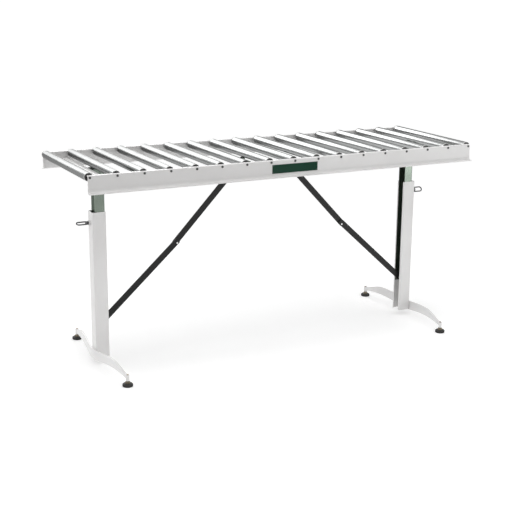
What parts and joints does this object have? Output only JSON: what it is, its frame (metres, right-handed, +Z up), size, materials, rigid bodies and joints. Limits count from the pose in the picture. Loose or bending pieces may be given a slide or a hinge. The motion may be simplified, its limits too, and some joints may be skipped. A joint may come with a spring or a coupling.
{
  "type": "roller table",
  "caption": "Portable roller conveyor table: steel rails with free rollers, on folding T-legs with telescoping columns, clamp screws, levelling feet and two-part braces.",
  "frame": {"origin": "on the floor, under the middle of the table", "axes": "+X along the rails, +Y from the front rail to the back rail, +Z up"},
  "size_m": [1.696, 0.635, 0.816],
  "materials": {
    "white_paint": "satin",
    "green_zinc": "zinc plated",
    "bright_steel": "bright plated",
    "black_paint": "satin",
    "black_plastic": "matte"
  },
  "bodies": {
    "frame": {"rail_front": "white_paint", "rail_back": "white_paint", "axle_01": "green_zinc", "axle_02": "green_zinc", "axle_03": "green_zinc", "axle_04": "green_zinc", "axle_05": "green_zinc", "axle_06": "green_zinc", "axle_07": "green_zinc", "axle_08": "green_zinc", "axle_09": "green_zinc", "axle_10": "green_zinc", "axle_11": "green_zinc", "axle_12": "green_zinc", "axle_13": "green_zinc", "axle_14": "green_zinc", "axle_15": "green_zinc", "axle_16": "green_zinc", "axle_17": "green_zinc", "cross_bar_left": "white_paint", "leg_bracket_left": "green_zinc", "pivot_pin_left": "green_zinc", "brace_rod_left": "green_zinc", "cross_bar_right": "white_paint", "leg_bracket_right": "green_zinc", "pivot_pin_right": "green_zinc", "brace_rod_right": "green_zinc"},
    "roller_01": {"roller_01": "bright_steel"},
    "roller_02": {"roller_02": "bright_steel"},
    "roller_03": {"roller_03": "bright_steel"},
    "roller_04": {"roller_04": "bright_steel"},
    "roller_05": {"roller_05": "bright_steel"},
    "roller_06": {"roller_06": "bright_steel"},
    "roller_07": {"roller_07": "bright_steel"},
    "roller_08": {"roller_08": "bright_steel"},
    "roller_09": {"roller_09": "bright_steel"},
    "roller_10": {"roller_10": "bright_steel"},
    "roller_11": {"roller_11": "bright_steel"},
    "roller_12": {"roller_12": "bright_steel"},
    "roller_13": {"roller_13": "bright_steel"},
    "roller_14": {"roller_14": "bright_steel"},
    "roller_15": {"roller_15": "bright_steel"},
    "roller_16": {"roller_16": "bright_steel"},
    "roller_17": {"roller_17": "bright_steel"},
    "post_left": {"post_left": "green_zinc"},
    "column_left": {"column_left": "white_paint", "base_left": "white_paint"},
    "clamp_screw_left": {"clamp_screw_left": "bright_steel"},
    "upper_link_left": {"upper_link_left": "black_paint"},
    "lower_link_left": {"lower_link_left": "black_paint"},
    "foot_left_front": {"foot_left_front": "black_plastic"},
    "foot_left_back": {"foot_left_back": "black_plastic"},
    "post_right": {"post_right": "green_zinc"},
    "column_right": {"column_right": "white_paint", "base_right": "white_paint"},
    "clamp_screw_right": {"clamp_screw_right": "bright_steel"},
    "upper_link_right": {"upper_link_right": "black_paint"},
    "lower_link_right": {"lower_link_right": "black_paint"},
    "foot_right_front": {"foot_right_front": "black_plastic"},
    "foot_right_back": {"foot_right_back": "black_plastic"}
  },
  "joints": [
    {"name": "roller_01_spin", "type": "hinge", "parent": "frame", "child": "roller_01", "pos_m": [-0.832, 0, 0.8], "axis": [0, 1, 0], "continuous": true},
    {"name": "roller_02_spin", "type": "hinge", "parent": "frame", "child": "roller_02", "pos_m": [-0.728, 0, 0.8], "axis": [0, 1, 0], "continuous": true},
    {"name": "roller_03_spin", "type": "hinge", "parent": "frame", "child": "roller_03", "pos_m": [-0.624, 0, 0.8], "axis": [0, 1, 0], "continuous": true},
    {"name": "roller_04_spin", "type": "hinge", "parent": "frame", "child": "roller_04", "pos_m": [-0.52, 0, 0.8], "axis": [0, 1, 0], "continuous": true},
    {"name": "roller_05_spin", "type": "hinge", "parent": "frame", "child": "roller_05", "pos_m": [-0.416, 0, 0.8], "axis": [0, 1, 0], "continuous": true},
    {"name": "roller_06_spin", "type": "hinge", "parent": "frame", "child": "roller_06", "pos_m": [-0.312, 0, 0.8], "axis": [0, 1, 0], "continuous": true},
    {"name": "roller_07_spin", "type": "hinge", "parent": "frame", "child": "roller_07", "pos_m": [-0.208, 0, 0.8], "axis": [0, 1, 0], "continuous": true},
    {"name": "roller_08_spin", "type": "hinge", "parent": "frame", "child": "roller_08", "pos_m": [-0.104, 0, 0.8], "axis": [0, 1, 0], "continuous": true},
    {"name": "roller_09_spin", "type": "hinge", "parent": "frame", "child": "roller_09", "pos_m": [0, 0, 0.8], "axis": [0, 1, 0], "continuous": true},
    {"name": "roller_10_spin", "type": "hinge", "parent": "frame", "child": "roller_10", "pos_m": [0.104, 0, 0.8], "axis": [0, 1, 0], "continuous": true},
    {"name": "roller_11_spin", "type": "hinge", "parent": "frame", "child": "roller_11", "pos_m": [0.208, 0, 0.8], "axis": [0, 1, 0], "continuous": true},
    {"name": "roller_12_spin", "type": "hinge", "parent": "frame", "child": "roller_12", "pos_m": [0.312, 0, 0.8], "axis": [0, 1, 0], "continuous": true},
    {"name": "roller_13_spin", "type": "hinge", "parent": "frame", "child": "roller_13", "pos_m": [0.416, 0, 0.8], "axis": [0, 1, 0], "continuous": true},
    {"name": "roller_14_spin", "type": "hinge", "parent": "frame", "child": "roller_14", "pos_m": [0.52, 0, 0.8], "axis": [0, 1, 0], "continuous": true},
    {"name": "roller_15_spin", "type": "hinge", "parent": "frame", "child": "roller_15", "pos_m": [0.624, 0, 0.8], "axis": [0, 1, 0], "continuous": true},
    {"name": "roller_16_spin", "type": "hinge", "parent": "frame", "child": "roller_16", "pos_m": [0.728, 0, 0.8], "axis": [0, 1, 0], "continuous": true},
    {"name": "roller_17_spin", "type": "hinge", "parent": "frame", "child": "roller_17", "pos_m": [0.832, 0, 0.8], "axis": [0, 1, 0], "continuous": true},
    {"name": "leg_left_fold", "type": "hinge", "parent": "frame", "child": "post_left", "pos_m": [-0.7019, 0, 0.769], "axis": [0, -1, 0], "range_deg": [0, 76]},
    {"name": "upper_link_left_turn", "type": "hinge", "parent": "frame", "child": "upper_link_left", "pos_m": [-0.092, 0, 0.767], "axis": [0, -1, 0], "range_deg": [-46, 0]},
    {"name": "lower_link_left_turn", "type": "hinge", "parent": "post_left", "child": "lower_link_left", "pos_m": [-0.6989, 0, 0.175], "axis": [0, -1, 0], "range_deg": [0, 44.7]},
    {"name": "column_left_slide", "type": "slide", "parent": "post_left", "child": "column_left", "axis": [0, 0, 1], "range_m": [-0.3, 0.1]},
    {"name": "clamp_screw_left_turn", "type": "hinge", "parent": "column_left", "child": "clamp_screw_left", "pos_m": [-0.744, 0, 0.57], "axis": [1, 0, 0], "continuous": true},
    {"name": "foot_left_front_level", "type": "slide", "parent": "column_left", "child": "foot_left_front", "axis": [0, 0, 1], "range_m": [-0.015, 0.002]},
    {"name": "foot_left_back_level", "type": "slide", "parent": "column_left", "child": "foot_left_back", "axis": [0, 0, 1], "range_m": [-0.015, 0.002]},
    {"name": "leg_right_fold", "type": "hinge", "parent": "frame", "child": "post_right", "pos_m": [0.7019, 0, 0.769], "axis": [0, 1, 0], "range_deg": [0, 76]},
    {"name": "upper_link_right_turn", "type": "hinge", "parent": "frame", "child": "upper_link_right", "pos_m": [0.092, 0, 0.767], "axis": [0, 1, 0], "range_deg": [-46, 0]},
    {"name": "lower_link_right_turn", "type": "hinge", "parent": "post_right", "child": "lower_link_right", "pos_m": [0.6989, 0, 0.175], "axis": [0, 1, 0], "range_deg": [0, 44.7]},
    {"name": "column_right_slide", "type": "slide", "parent": "post_right", "child": "column_right", "axis": [0, 0, 1], "range_m": [-0.3, 0.1]},
    {"name": "clamp_screw_right_turn", "type": "hinge", "parent": "column_right", "child": "clamp_screw_right", "pos_m": [0.744, 0, 0.57], "axis": [1, 0, 0], "continuous": true},
    {"name": "foot_right_front_level", "type": "slide", "parent": "column_right", "child": "foot_right_front", "axis": [0, 0, 1], "range_m": [-0.015, 0.002]},
    {"name": "foot_right_back_level", "type": "slide", "parent": "column_right", "child": "foot_right_back", "axis": [0, 0, 1], "range_m": [-0.015, 0.002]}
  ],
  "couplings": [
    {"joint": "upper_link_left_turn", "follows": "leg_left_fold", "ratio": -0.60365},
    {"joint": "lower_link_left_turn", "follows": "leg_left_fold", "ratio": 0.58657},
    {"joint": "upper_link_right_turn", "follows": "leg_right_fold", "ratio": -0.60365},
    {"joint": "lower_link_right_turn", "follows": "leg_right_fold", "ratio": 0.58657}
  ]
}
